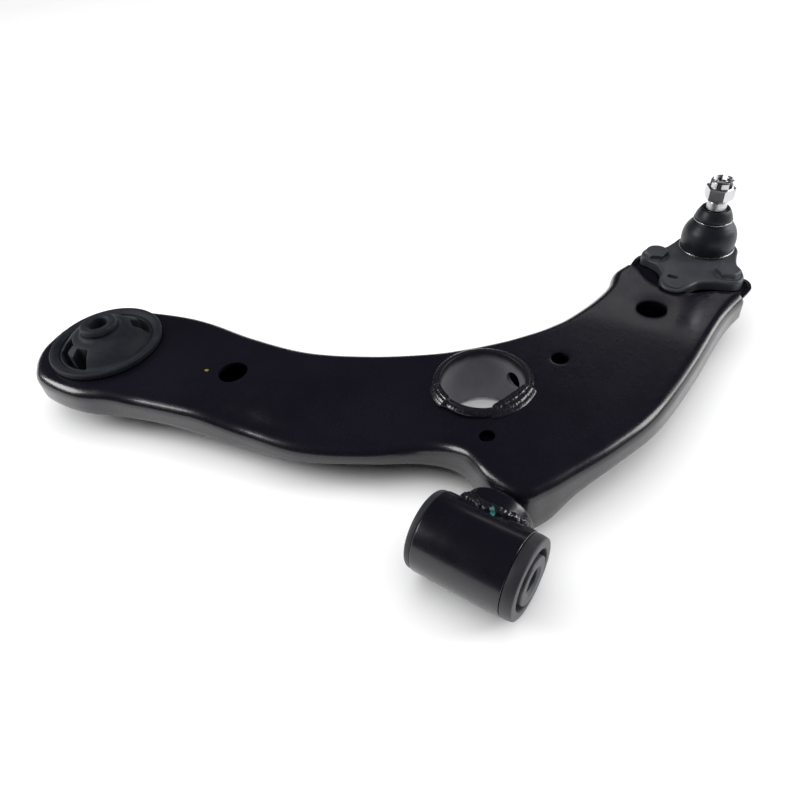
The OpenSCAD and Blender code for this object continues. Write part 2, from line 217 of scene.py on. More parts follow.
def fillet(profile, radius, steps=4):
    """Rounds the corners of an (r, z) outline; radius is one number or one for each corner."""
    count = len(profile)
    out = []
    for i, corner in enumerate(profile):
        r = radius[i] if hasattr(radius, "__len__") else radius
        if r <= 0:
            out.append(corner)
            continue
        p = Vector(corner)
        before = Vector(profile[i - 1]) - p
        after = Vector(profile[(i + 1) % count]) - p
        a = p + before.normalized() * min(r, before.length * 0.48)
        b = p + after.normalized() * min(r, after.length * 0.48)
        for k in range(steps + 1):
            t = k / steps
            out.append(tuple((1 - t) ** 2 * a + 2 * t * (1 - t) * p + t * t * b))
    return out


def turns(count):
    """Angles that go once round in equal steps."""
    return [2 * pi * k / count for k in range(count)]


def lathe(profile, segments):
    """Points and faces of an (r, z) outline turned about Z."""
    points, faces = [], []
    count = len(profile)
    for a in turns(segments):
        points += [(r * cos(a), r * sin(a), z) for r, z in profile]
    for k in range(segments):
        here, there = k * count, (k + 1) % segments * count
        for i in range(count):
            j = (i + 1) % count
            faces.append((here + i, there + i, there + j, here + j))
    return points, faces


def rod(r, z0, z1, segments):
    """Points and faces of a round bar along Z, to cut with."""
    return lathe([(AXIS_R, z0), (r, z0), (r, z1), (AXIS_R, z1)], segments)


def moved(shape, at):
    """The same points and faces at another place in plan."""
    return [(x + at[0], y + at[1], z) for x, y, z in shape[0]], shape[1]


def bore_x(obj, r, segments):
    """Cuts away what lies within r of the front bush's axis."""
    points, faces = rod(r, -40, 40, segments)
    return cut(obj, make_object("tool", [(z, x, y) for x, y, z in points], faces, merge=0.01))


def halves(whole, z, wanted):
    """Parts of a mesh above (True) or below (False) a height, open at the cut; the whole is deleted."""
    parts = []
    for name, upper in wanted:
        work = bmesh.new()
        work.from_mesh(whole.data)
        geom = work.verts[:] + work.edges[:] + work.faces[:]
        bmesh.ops.bisect_plane(work, geom=geom, plane_co=(0, 0, z * MM), plane_no=(0, 0, 1),
                               clear_inner=upper, clear_outer=not upper)
        parts.append(from_bmesh(name, work))
    bpy.data.objects.remove(whole)
    return parts


def turned(name, profile, at=(0, 0), axis="z", radius=0.4, segments=128):
    """Turned piece whose axis passes through the plan point at, or runs along X or Y."""
    points, faces = lathe(fillet(profile, radius), segments)
    if axis == "z":
        points = [(x + at[0], y + at[1], z) for x, y, z in points]
    elif axis == "x":
        points = [(z, x + at[0], y + at[1]) for x, y, z in points]
    else:
        points = [(x + at[0], z, -y + at[1]) for x, y, z in points]
    return smooth(make_object(name, points, faces, merge=1e-4), 50)


def spline_point(a, b, c, d, t):
    return 0.5 * (2 * b + (c - a) * t + (2 * a - 5 * b + 4 * c - d) * t * t
                  + (3 * b - a - 3 * c + d) * t ** 3)


def through(points, steps, closed=False):
    """Smooth curve through given plan points."""
    p = np.array(points, float)
    n = len(p)
    out = []
    for i in range(n if closed else n - 1):
        if closed:
            a, b, c, d = (p[(i + k) % n] for k in (-1, 0, 1, 2))
        else:
            a, b, c, d = (p[min(max(i + k, 0), n - 1)] for k in (-1, 0, 1, 2))
        out += [spline_point(a, b, c, d, k / steps) for k in range(steps)]
    if not closed:
        out.append(p[-1])
    return np.array(out)


def plan_normals(pts, closed):
    """Unit normals to the left of the way the plan points run."""
    pts = np.asarray(pts)[:, :2]
    ahead = np.roll(pts, -1, 0) - pts
    if not closed:
        ahead[-1] = ahead[-2]
    ahead /= np.linalg.norm(ahead, axis=1)[:, None]
    behind = np.roll(ahead, 1, 0)
    if not closed:
        behind[0] = ahead[0]
    d = ahead + behind
    d /= np.linalg.norm(d, axis=1)[:, None]
    return np.stack([-d[:, 1], d[:, 0]], 1)


def inside(polygon, x, y):
    """True where (x, y) lies in the polygon; x and y are arrays."""
    hit = np.zeros(np.shape(x), bool)
    for (x0, y0), (x1, y1) in zip(polygon, np.roll(polygon, -1, 0)):
        cross = (y0 > y) != (y1 > y)
        with np.errstate(divide="ignore", invalid="ignore"):
            hit ^= cross & (x < (x1 - x0) * (y - y0) / (y1 - y0) + x0)
    return hit


def circle(centre, r, count):
    return np.array([(centre[0] + r * cos(a), centre[1] + r * sin(a)) for a in turns(count)])


def plan_tree(points):
    """Finds the nearest of some points in plan; look up with height 0."""
    tree = kdtree.KDTree(len(points))
    for i, p in enumerate(points):
        tree.insert((p[0], p[1], 0), i)
    tree.balance()
    return tree


def fill_plan(boundary, holes, pitch, extra=()):
    """Triangles that fill a plan outline with holes: (points, faces)."""
    boundary = np.asarray(boundary)
    loops = [boundary] + [np.asarray(h) for h in holes]
    points, edges = [], []
    for loop in loops:
        base = len(points)
        points += [tuple(p) for p in loop]
        edges += [(base + i, base + (i + 1) % len(loop)) for i in range(len(loop))]
    tree = plan_tree(points)
    low, high = boundary.min(0), boundary.max(0)
    rows = np.arange(low[1], high[1], pitch * 0.866)
    grid = np.array([(x + (pitch / 2 if k % 2 else 0), y) for k, y in enumerate(rows)
                     for x in np.arange(low[0], high[0], pitch)] + [tuple(p) for p in extra])
    keep = inside(boundary, grid[:, 0], grid[:, 1])
    for h in holes:
        keep &= ~inside(np.asarray(h), grid[:, 0], grid[:, 1])
    for p in grid[keep]:
        if tree.find((p[0], p[1], 0))[2] > pitch * 0.45:
            points.append(tuple(p))
    verts, _, faces, _, _, _ = geometry.delaunay_2d_cdt(
        [Vector(p) for p in points], edges, [], 0, 1e-5)
    verts = np.array([tuple(v) for v in verts])
    mid = np.array([verts[list(f)].mean(0) for f in faces])
    keep = inside(boundary, mid[:, 0], mid[:, 1])
    for h in holes:
        keep &= ~inside(np.asarray(h), mid[:, 0], mid[:, 1])
    return verts, [tuple(f) for f, k in zip(faces, keep) if k]


def join(name, parts, merge=0.0):
    """One object from several (points, faces) lists."""
    points, faces = [], []
    for pts, fcs in parts:
        base = len(points)
        points += [tuple(p) for p in pts]
        faces += [tuple(base + i for i in f) for f in fcs]
    return make_object(name, points, faces, merge)


def strip(rows, closed=False):
    """Quads between consecutive rows of points."""
    n = len(rows[0])
    points = [tuple(p) for row in rows for p in row]
    faces = []
    for k in range(len(rows) - 1):
        for i in range(n if closed else n - 1):
            j = (i + 1) % n
            faces.append((k * n + i, k * n + j, (k + 1) * n + j, (k + 1) * n + i))
    return points, faces


def finish_piece(obj, body, slot, material, *nodes):
    obj.data.materials.clear()
    obj.data.materials.append(material)
    if body:
        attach(obj, body)
    if nodes:
        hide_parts(*nodes)
    return obj


# ---------------------------------------------------------------- materials
class Nodes:
    """Short way to write a node tree."""

    def __init__(self, name):
        self.material = bpy.data.materials.new(name)
        self.material.use_nodes = True
        self.tree = self.material.node_tree
        self.shader = self.tree.nodes["Principled BSDF"]
        self.coord = self.add("ShaderNodeTexCoord").outputs["Object"]

    def add(self, kind, **settings):
        node = self.tree.nodes.new(kind)
        for key, value in settings.items():
            setattr(node, key, value)
        return node

    def wire(self, a, b):
        self.tree.links.new(a, b)

    def feed(self, value, socket):
        """Wires an output to a socket, or sets the socket to a number or a colour."""
        if hasattr(value, "is_linked"):
            self.wire(value, socket)
        elif isinstance(value, tuple):
            socket.default_value = (*value, 1)
        else:
            socket.default_value = value

    def noise(self, scale, detail=3.0, rough=0.55):
        node = self.add("ShaderNodeTexNoise")
        node.inputs["Scale"].default_value = scale
        node.inputs["Detail"].default_value = detail
        node.inputs["Roughness"].default_value = rough
        self.wire(self.coord, node.inputs["Vector"])
        return node.outputs["Fac"]

    def voronoi(self, scale):
        node = self.add("ShaderNodeTexVoronoi", feature="F1")
        node.inputs["Scale"].default_value = scale
        self.wire(self.coord, node.inputs["Vector"])
        return node.outputs["Distance"]

    def ramp(self, value, stops):
        node = self.add("ShaderNodeValToRGB")
        ramp = node.color_ramp
        while len(ramp.elements) < len(stops):
            ramp.elements.new(0.5)
        for element, (place, colour) in zip(ramp.elements, stops):
            element.position = place
            element.color = (*colour, 1) if hasattr(colour, "__len__") else (colour,) * 3 + (1,)
        self.wire(value, node.inputs["Fac"])
        return node.outputs["Color"]

    def spread(self, value, low, high, from_low=0.0, from_high=1.0):
        node = self.add("ShaderNodeMapRange")
        limits = {"From Min": from_low, "From Max": from_high, "To Min": low, "To Max": high}
        for key, number in limits.items():
            node.inputs[key].default_value = number
        self.wire(value, node.inputs["Value"])
        return node.outputs["Result"]

    def maths(self, operation, a, b):
        node = self.add("ShaderNodeMath", operation=operation)
        self.feed(a, node.inputs[0])
        self.feed(b, node.inputs[1])
        return node.outputs[0]

    def mix(self, factor, a, b):
        node = self.add("ShaderNodeMix", data_type="RGBA")
        for value, key in ((factor, "Factor"), (a, 6), (b, 7)):
            self.feed(value, node.inputs[key])
        return node.outputs[2]

    def bump(self, height, distance, strength=1.0, under=None):
        node = self.add("ShaderNodeBump")
        node.inputs["Strength"].default_value = strength
        node.inputs["Distance"].default_value = distance
        self.wire(height, node.inputs["Height"])
        if under:
            self.wire(under, node.inputs["Normal"])
        return node.outputs["Normal"]

    def done(self, normal=None, **values):
        for key, value in values.items():
            self.feed(value, self.shader.inputs[key.replace("_", " ")])
        if normal:
            self.wire(normal, self.shader.inputs["Normal"])
        return self.material


def arm_paint():
    n = Nodes("arm_paint")
    cloud = n.noise(9, 4)
    film = n.noise(60, 5, 0.6)
    colour = n.ramp(cloud, [(0.3, (0.0030, 0.0026, 0.0052)), (0.7, (0.0052, 0.0046, 0.0088))])
    dust = n.ramp(n.voronoi(520), [(0.0, 0.55), (0.075, 0.0)])
    dusty = n.maths("MULTIPLY", dust, n.spread(cloud, 0.0, 0.25, 0.45, 0.7))
    colour = n.mix(dusty, colour, (0.06, 0.06, 0.07))
    rough = n.maths("ADD", n.spread(film, 0.16, 0.34), n.spread(cloud, -0.05, 0.08))
    peel = n.bump(n.noise(1500, 2), 0.00004, 0.55)
    wave = n.bump(n.noise(160, 2), 0.00025, 0.35, peel)
    return n.done(wave, Base_Color=colour, Roughness=rough, Specular_IOR_Level=0.5, Coat_Weight=0.25,
                  Coat_Roughness=0.12)


def weld_paint():
    n = Nodes("weld_paint")
    grain = n.noise(420, 5, 0.65)
    colour = n.ramp(grain, [(0.35, (0.004, 0.0038, 0.006)), (0.7, (0.010, 0.010, 0.014))])
    rough = n.spread(grain, 0.12, 0.38)
    return n.done(n.bump(grain, 0.0003, 0.45), Base_Color=colour, Roughness=rough, Specular_IOR_Level=0.6,
                  Coat_Weight=0.35, Coat_Roughness=0.1)


def tube_inside_painted_reflection():
    n = Nodes("tube_inside_painted_reflection")
    film = n.noise(70, 5)
    # painted reflection: the inner wall's base colour is a light grey standing for the bright surroundings it
    # mirrors
    colour = n.ramp(film, [(0.3, (0.125, 0.12, 0.135)), (0.75, (0.17, 0.165, 0.18))])
    specks = n.ramp(n.voronoi(230), [(0.0, 1.0), (0.035, 0.0)])
    colour = n.mix(n.maths("MULTIPLY", specks, 0.6), colour, (0.02, 0.02, 0.024))
    # the bare rim and the outside are as dark as the arm; lower down, the inner wall's light grey is a
    # painted reflection of the bright surroundings
    height = n.add("ShaderNodeSeparateXYZ")
    n.wire(n.coord, height.inputs[0])
    wavy = n.maths("ADD", height.outputs[2], n.maths("MULTIPLY", film, 0.006))
    rim = n.ramp(n.spread(wavy, 0, 1, 0.012, 0.022), [(0.25, 0.0), (0.75, 1.0)])
    colour = n.mix(rim, colour, (0.006, 0.006, 0.008))
    return n.done(n.bump(n.noise(900, 3), 0.0001, 0.4), Base_Color=colour,
                  Roughness=n.spread(film, 0.38, 0.55))


def rubber(name, base, tint, rough=(0.5, 0.72), sheen=0.12, level=0.42):
    n = Nodes(name)
    cloud = n.noise(55, 5, 0.6)
    dusty = n.noise(180, 6, 0.7)
    colour = n.ramp(n.maths("ADD", n.maths("MULTIPLY", cloud, 0.6), n.maths("MULTIPLY", dusty, 0.4)),
                    [(0.35, base), (0.68, tint)])
    fine = n.bump(n.noise(1300, 3), 0.00009, 0.6)
    skin = n.bump(n.noise(240, 3), 0.00025, 0.35, fine)
    return n.done(skin, Base_Color=colour, Roughness=n.spread(dusty, rough[0], rough[1]),
                  Specular_IOR_Level=level, Sheen_Weight=sheen, Sheen_Roughness=0.5)


def forging():
    n = Nodes("forging")
    cloud = n.noise(40, 5, 0.6)
    scale = n.noise(320, 4, 0.6)
    colour = n.ramp(cloud, [(0.3, (0.040, 0.043, 0.050)), (0.7, (0.062, 0.066, 0.076))])
    rough = n.spread(scale, 0.34, 0.56)
    fine = n.bump(n.noise(900, 3), 0.00008, 0.5)
    return n.done(n.bump(scale, 0.0002, 0.35, fine), Base_Color=colour, Roughness=rough, Metallic=0.35)


def steel(name, base, rough, rings=0.0, metallic=1.0, spots=0.0):
    """Bare metal; rings gives turning marks along Z."""
    n = Nodes(name)
    smear = n.noise(70, 4)
    colour = n.ramp(smear, [(0.3, tuple(0.82 * c for c in base)), (0.7, base)])
    if spots:
        mask = n.ramp(n.voronoi(650), [(0.0, 1.0), (0.11, 0.0)])
        colour = n.mix(n.maths("MULTIPLY", mask, spots), colour, tuple(0.4 * c for c in base))
    normal = n.bump(n.noise(1100, 2), 0.00004, 0.4)
    if rings:
        wave = n.add("ShaderNodeTexWave", bands_direction="Z")
        wave.inputs["Scale"].default_value = rings
        wave.inputs["Distortion"].default_value = 1.5
        wave.inputs["Detail"].default_value = 2
        n.wire(n.coord, wave.inputs["Vector"])
        normal = n.bump(wave.outputs["Fac"], 0.00005, 0.5, normal)
    return n.done(normal, Base_Color=colour, Metallic=metallic,
                  Roughness=n.spread(n.noise(240, 4), rough[0], rough[1]))


def plastic():
    n = Nodes("seat_plastic")
    colour = n.ramp(n.noise(80, 3), [(0.3, (0.70, 0.66, 0.52)), (0.7, (0.80, 0.77, 0.66))])
    return n.done(n.bump(n.noise(700, 2), 0.00006, 0.4), Base_Color=colour,
                  Roughness=n.spread(n.noise(200), 0.3, 0.45))


def mark(name, colour):
    n = Nodes(name)
    tone = n.noise(600, 3)
    return n.done(n.bump(tone, 0.0001, 0.4),
                  Base_Color=n.ramp(tone, [(0.3, tuple(0.6 * c for c in colour)), (0.7, colour)]),
                  Roughness=n.spread(tone, 0.4, 0.6))


PAINT = arm_paint()
WELD = weld_paint()
TUBE_PAINTED_REFLECTION = tube_inside_painted_reflection()
BUSH_RUBBER = rubber("bush_rubber", (0.006, 0.007, 0.010), (0.014, 0.017, 0.023), sheen=0.03, level=0.25)
LIP_RUBBER = rubber("lip_rubber", (0.010, 0.010, 0.013), (0.020, 0.020, 0.025), (0.42, 0.6))
BOOT_RUBBER = rubber("boot_rubber", (0.005, 0.006, 0.009), (0.012, 0.013, 0.018), (0.32, 0.48),
                     sheen=0.05, level=0.35)
FORGING = forging()
SLEEVE = steel("sleeve_steel", (0.11, 0.112, 0.122), (0.4, 0.6), metallic=0.7, spots=0.4)
STUD = steel("stud_steel", (0.60, 0.60, 0.61), (0.14, 0.26), rings=900)
RING = steel("ring_steel", (0.42, 0.43, 0.44), (0.2, 0.34))
ZINC = steel("nut_zinc", (0.66, 0.66, 0.67), (0.22, 0.4), spots=0.5)
PLASTIC = plastic()

# ---------------------------------------------------------------- arm shells
# Curve steps between two given sections, for the visible shells
FINE = 9
END_FAR = len(CAP + ARM) - 1.1
END_NEAR = len(CAP + ARM) - 1.0
# Centre of the neck's round section, as (x, z), its radius inside the arm, and where its bead starts
NECK = (-1.0, -3.0)
NECK_R = 15
BEAD_Y = 33.1
MOUTH_R = 15.2
MOUTH_Y = (28.0, 62.5)


def edge_point(side, u):
    n = len(SECTIONS)
    i = min(int(u), n - 2)
    a, b, c, d = (SECTIONS[min(max(i + k, 0), n - 1)][side] for k in (-1, 0, 1, 2))
    return spline_point(a, b, c, d, u - i)


def edge(side, end):
    steps = int(round(end * FINE))
    return np.array([edge_point(side, end * k / steps) for k in range(steps + 1)])


def end_corner(side, r, steps=6):
    """Rounded corner between an edge's end and the line across to the other edge's end."""
    corner, back, across = (SECTIONS[i][j] for i, j in ((-1, side), (-2, side), (-1, 1 - side)))
    a = corner + (back - corner) * r / np.linalg.norm(back - corner)
    b = corner + (across - corner) * r / np.linalg.norm(across - corner)
    return np.array([(1 - t) ** 2 * a + 2 * t * (1 - t) * corner + t * t * b
                     for t in np.linspace(0, 1, steps)])


def rear_tip():
    """The short stretch of the cap between the two edges' first points."""
    return np.array([cap_point(a, 1) for a in (-2.5, 0, 2.5)])


def prism_y(ring, y0, y1):
    """Closed prism along Y over an (x, z) outline."""
    n = len(ring)
    points = [(x, y, z) for y in (y0, y1) for x, z in ring]
    faces = [(i, (i + 1) % n, n + (i + 1) % n, n + i) for i in range(n)]
    return make_object("tool", points, faces + [tuple(range(n))[::-1], tuple(range(n, 2 * n))])


def mouth_tool(open_below):
    """Cutter for the hole in the skirts through which the neck enters the arm."""
    sweep = pi if open_below else 2 * pi
    ring = [(NECK[0] + MOUTH_R * cos(a), NECK[1] + MOUTH_R * sin(a))
            for a in np.linspace(0, sweep, 49 if open_below else 64, endpoint=open_below)]
    if open_below:
        ring += [(NECK[0] - MOUTH_R, NECK[1] - 40), (NECK[0] + MOUTH_R, NECK[1] - 40)]
    return prism_y(ring, *MOUTH_Y)


def drill(obj, at, r):
    return cut(obj, make_object("tool", *moved(rod(r, -60, 60, 128), at), merge=0.01))


TOOLING_HOLES = [((-224.7, 36.5), 11.0), ((13.3, 244.5), 11.0), ((-21.7, 158.9), 6.2), ((-30.5, 69.8), 5.2)]


def bump_shape(x, y, cx, cy, r):
    return ease(1 - hypot(x - cx, y - cy) / r)


def relief(x, y):
    """Pressed shapes in the upper shell's top, added to top_z."""
    z = 0.0
    z -= 1.3 * bump_shape(x, y, -226, 37, 40)
    z -= 0.8 * bump_shape(x, y, 13.3, 244.5, 26)
    z -= 0.9 * bump_shape(x, y, -150, 40, 42)
    for (hx, hy), r in TOOLING_HOLES:
        z -= 0.5 * bump_shape(x, y, hx, hy, r + 3.5)
    return z


SCALLOP = [(-14.5, 292.5), (-8, 285), (1, 278.5), (11, 275), (22, 274.6), (32, 277.5), (39.5, 283.5),
           (47, 288.5)]


def thicken(obj):
    """Gives a skin the sheet's thickness, inwards, with eased edges."""
    modify(obj, "SOLIDIFY", thickness=SHEET * MM, offset=-1, use_even_offset=False, use_rim=True)
    return bevel(obj, 0.5, 50)


def upper_shell():
    far, near = edge(0, END_FAR), edge(1, END_NEAR)
    outline = np.concatenate([near[::-1], rear_tip(), far])
    normals = plan_normals(outline, False)
    bend_steps = 8

    def edge_z(p):
        return top_z(p[0], p[1]) + relief(p[0], p[1]) - shoulder_drop(p[0], p[1])

    def ring(inset, z_of):
        return [(p[0] - inset * n[0], p[1] - inset * n[1], z_of(p)) for p, n in zip(outline, normals)]

    rows = []
    for k in range(bend_steps + 1):
        a = radians(90 - 90 * k / bend_steps)
        drop = BEND * (1 - sin(a))
        rows.append(ring(BEND * (1 - cos(a)), lambda p, drop=drop: edge_z(p) - drop))
    for t in (0.33, 0.66, 1.0):
        rows.append(ring(0, lambda p, t=t: (1 - t) * (edge_z(p) - BEND) + t * p[2]))
    skirt = strip(rows)
    inner = np.array([(p[0], p[1]) for p in rows[0]])
    lip = through([tuple(inner[-1])] + SCALLOP + [tuple(inner[0])], 5)
    boundary = np.concatenate([inner, lip[1:-1]])
    holes = [circle(REAR, REAR_HOLE_R, 96), circle(TUBE, TUBE_OUTER - 0.5, 96)]
    holes += [circle(c, r, 40) for c, r in TOOLING_HOLES]
    rims = [p for c, r in TOOLING_HOLES for p in circle(c, r + 2.0, 30)]
    verts, faces = fill_plan(boundary, holes, 4.0, rims)
    tree = plan_tree(rows[0])
    # on the near side the top slopes up from the edge to a crease part of the way across
    near_tree = plan_tree(inner[:len(near)])
    crease = [0.42 * np.linalg.norm((edge_point(0, END_NEAR * k / (len(near) - 1)) - near[k])[:2])
              for k in range(len(near))][::-1]
    top = []
    for x, y in verts:
        _, i, d = near_tree.find((x, y, 0))
        p = outline[i]
        slope = shoulder_drop(p[0], p[1]) * max(0.0, 1 - d / crease[i]) ** 1.4
        z = top_z(x, y) + relief(x, y) - slope
        _, i, d = tree.find((x, y, 0))
        if d < 10:
            z = rows[0][i][2] + (z - rows[0][i][2]) * ease(d / 10)
        top.append((x, y, z))
    obj = thicken(join("upper_shell_skin", [skirt, (top, faces)], merge=0.02))
    cut(obj, mouth_tool(True))
    smooth(obj, 40)
    return finish_piece(obj, "arm", "arm_paint", PAINT, "upper_shell")


def lower_shell():
    """Floor, bend, a wall that leans in below the skirt's rim and an upright part inside the skirt."""
    end, corner_r = len(SECTIONS) - 1, 13.5
    near, far = ([p for p in edge(side, end) if np.linalg.norm(p - SECTIONS[-1, side]) > corner_r]
                 for side in (1, 0))
    outline = np.concatenate([end_corner(1, corner_r)[::-1], near[::-1], rear_tip(), far,
                              end_corner(0, corner_r)])
    normals = plan_normals(outline, True)
    lean = cos(radians(45))
    inset = SHEET + SEAT_GAP
    shapes = []
    for p in outline:
        low, rim = floor_z(p[0], p[1]), p[2]
        crown = top_z(p[0], p[1]) - shoulder_drop(p[0], p[1])
        rise = LOWER_BEND * (1 - lean)
        splay = max(1.2, rim - 1 - low - rise)
        centre = inset + LOWER_BEND * lean + splay
        shape = [(centre - LOWER_BEND * cos(a), low + LOWER_BEND * (1 - sin(a)))
                 for a in (radians(90 - 9 * k) for k in range(6))]
        knee = low + rise + splay
        wall_top = max(min(rim + LAP, crown - BEND - SEAT_GAP), low + LOWER_BEND + 0.3)
        shape += [(inset + 0.4, knee - 0.4), (inset, knee + 0.6), (inset, wall_top)]
        shapes.append(shape)
    rows = [[(p[0] - shape[k][0] * n[0], p[1] - shape[k][0] * n[1], shape[k][1])
             for p, n, shape in zip(outline, normals, shapes)] for k in range(len(shapes[0]))]
    wall = strip(rows, closed=True)
    inner = np.array([(p[0], p[1]) for p in rows[0]])
    holes = [circle(e, BOLT_HOLE_R, 24) for e in EARS]
    cup = circle(BALL, CUP_HOLE_R, 96)
    arc = cup[inside(inner, cup[:, 0], cup[:, 1])]
    verts, faces = fill_plan(inner, holes, 4.0, arc)
    faces = [f for f in faces
             if hypot(*(np.mean([verts[i] for i in f], 0) - np.array(BALL))) > CUP_HOLE_R]

    def floor_seat(x, y):
        seat = max(ease((15 - hypot(x - ex, y - ey)) / 4) for ex, ey in EARS)
        return floor_z(x, y) * (1 - seat) + 8 * seat

    floor = [(x, y, floor_seat(x, y)) for x, y in verts]
    obj = thicken(join("lower_shell_skin", [wall, (floor, faces)], merge=0.02))
    cut(obj, mouth_tool(False))
    drill(obj, TUBE, TUBE_OUTER - 0.4)
    drill(obj, REAR, REAR_HOLE_R)
    smooth(obj, 40)
    return finish_piece(obj, "arm", "arm_paint", PAINT, "lower_shell")


# ---------------------------------------------------------------- weld beads
def bead(name, path, normals, profile, ripple, pitch, seed):
    """Weld bead swept along 3-D points; profile is (out, up) pairs and ripples overlap like scales."""
    rows = []
    travelled = 0.0
    for i, (p, nrm) in enumerate(zip(path, normals)):
        if i:
            travelled += float(np.linalg.norm(np.array(p) - np.array(path[i - 1])))
        phase = travelled / pitch % 1.0
        scale = 1 + ripple * (phase ** 0.5 - 0.6) + 0.12 * noise.noise(Vector((travelled * 0.15, seed, 0)))
        row = []
        for k, (out, up) in enumerate(profile):
            jitter = 1 + 0.10 * noise.noise(Vector((travelled * 0.8, k * 3.1, seed)))
            row.append((p[0] + nrm[0] * out * scale * jitter, p[1] + nrm[1] * out * scale * jitter,
                        p[2] + nrm[2] * out + up * scale * jitter))
        rows.append(row)
    points, faces = strip(rows, closed=True)
    return make_object(name, points, faces, merge=1e-3)


def tube_weld(name, z, up, node, stitches):
    """Fillet bead round the tube. A stitch (angle, half width, reach) laps over the tube's rim in streaks,
    and its inner edge runs straight across when it reaches over the bore."""
    count, across = 400, 18
    rows = []
    for k in range(count + 1):
        turn = 360.0 * (k % count) / count
        a = radians(turn)
        full, lap = 0.0, 0.0
        for mid, half, reach in stitches:
            off = abs((turn - mid + 180) % 360 - 180)
            full = max(full, ease((half + 4 - off) / 8))
            if off < half:
                chord = TUBE_BORE * cos(radians(half)) / cos(radians(off))
                lap = max(lap, reach * (TUBE_BORE - chord))
        r_in = (TUBE_OUTER - 0.6) * (1 - full) + (TUBE_BORE + 0.4) * full - lap
        r_out = TUBE_OUTER + 2.9 + 2.4 * full
        rise = 2.0 + 1.9 * full
        row = [(r_out, z - 1.0 * up), (TUBE_BORE + 0.5 + (1 - full) * 2.0, z - (1.0 + 2.5 * full) * up)]
        for j in range(across + 1):
            t = j / across
            swell = noise.noise(Vector((cos(a) * 5, sin(a) * 5, 2))) * 0.2
            streak = 0.42 * full * cos(2 * pi * 3.2 * t) * sin(pi * t)
            rough = noise.noise(Vector((cos(a) * 34, sin(a) * 34, j * 0.3))) * (0.06 + 0.34 * full)
            ripple = 0.10 * sin(turn * 1.5) * (1 - full)
            uneven = (streak + rough + swell + ripple) * sin(pi * min(1, 0.2 + t * 0.8))
            lift = rise * (1 - t ** 2.2) + uneven
            row.append((r_in + (r_out - r_in) * t, z + lift * up))
        rows.append([(TUBE[0] + r * cos(a), TUBE[1] + r * sin(a), h) for r, h in row])
    points, faces = strip(rows, closed=True)
    obj = smooth(make_object(name, points, faces, merge=1e-3), 70)
    return finish_piece(obj, "arm", "arm_paint", WELD, node)


def seam_weld():
    far, near = edge(0, END_FAR - 1.6), edge(1, END_NEAR - 1.6)
    outline = np.concatenate([near[::-1], rear_tip(), far])
    normals = plan_normals(outline, False)
    fine, fine_n = [], []
    for i in range(len(outline) - 1):
        for k in range(6):
            t = k / 6
            fine.append(outline[i] * (1 - t) + outline[i + 1] * t)
            fine_n.append(normals[i] * (1 - t) + normals[i + 1] * t)
    runs, run = [], []
    for p, n in zip(fine, fine_n):
        if p[1] > 62 or n[1] > 0 or abs(p[0] - NECK[0]) > MOUTH_R + 4:
            run.append((p, n))
        elif run:
            runs.append(run)
            run = []
    runs.append(run)
    parts = []
    for seed, run in enumerate(runs):
        path = [(*(p[:2] - (SHEET + SEAT_GAP) * n), p[2] - 0.1) for p, n in run]
        nrm = [(n[0], n[1], 0) for _, n in run]
        profile = [(-0.6, 0.3), (2.4, 0.2), (2.4, -0.3), (1.6, -1.3), (0.7, -2.0), (-0.6, -2.5)]
        parts.append(bead("bead%d" % seed, path, nrm, profile, 0.14, 3.4, 11 + seed))
    work = bmesh.new()
    for p in parts:
        work.from_mesh(p.data)
        bpy.data.objects.remove(p)
    bmesh.ops.holes_fill(work, edges=[e for e in work.edges if e.is_boundary])
    bmesh.ops.recalc_face_normals(work, faces=work.faces)
    return finish_piece(smooth(from_bmesh("seam_weld_bead", work), 60), "arm", "arm_paint", WELD, "seam_weld")


def remeshed(obj, voxel, rounds):
    modify(obj, "REMESH", mode="VOXEL", voxel_size=voxel * MM, use_smooth_shade=True)
    return modify(obj, "SMOOTH", factor=0.5, iterations=rounds)


def roughen(obj, amount, scale):
    """Moves the points along their normals by noise."""
    mesh = obj.data
    for v in mesh.vertices:
        p = v.co * scale
        v.co += v.normal * amount * MM * (noise.noise(p) + 0.5 * noise.noise(p * 2.3))
    mesh.update()
    return obj


# ---------------------------------------------------------------- centre tube
def centre_tube():
    z0, z1 = -26.0, 19.5
    profile = [(TUBE_BORE, z0), (TUBE_OUTER, z0), (TUBE_OUTER, z1), (TUBE_BORE, z1)]
    obj = turned("centre_tube_wall", profile, TUBE, radius=0.8, segments=160)
    points, faces = rod(VENT_R, 20, 44, 48)
    tool = make_object("vent_tool", [(z, x, y) for x, y, z in points], faces, merge=0.01)
    tool.matrix_world = (Matrix.Translation((TUBE[0] * MM, TUBE[1] * MM, 0))
                         @ Matrix.Rotation(radians(VENT_TURN), 4, "Z"))
    bpy.context.view_layer.update()
    cut(obj, tool)
    smooth(obj, 40)
    # the tube's inner wall carries a painted reflection in its light grey colour
    return finish_piece(obj, "arm", "arm_paint", TUBE_PAINTED_REFLECTION, "centre_tube")


# ---------------------------------------------------------------- neck and front bush
def front_neck():
    profile = [(AXIS_R, 8), (21.8, 8), (21.8, 25), (22.3, 29), (22.5, 31.4), (21.4, 33), (17, 33),
               (NECK_R, 34), (NECK_R, 62), (AXIS_R, 62)]
    obj = turned("front_neck_barrel", profile, NECK, "y", radius=1.0, segments=128)
    bore_x(obj, HOUSING_R + 0.02, 128)
    smooth(obj, 40)
    return finish_piece(obj, "arm", "arm_paint", PAINT, "front_neck")


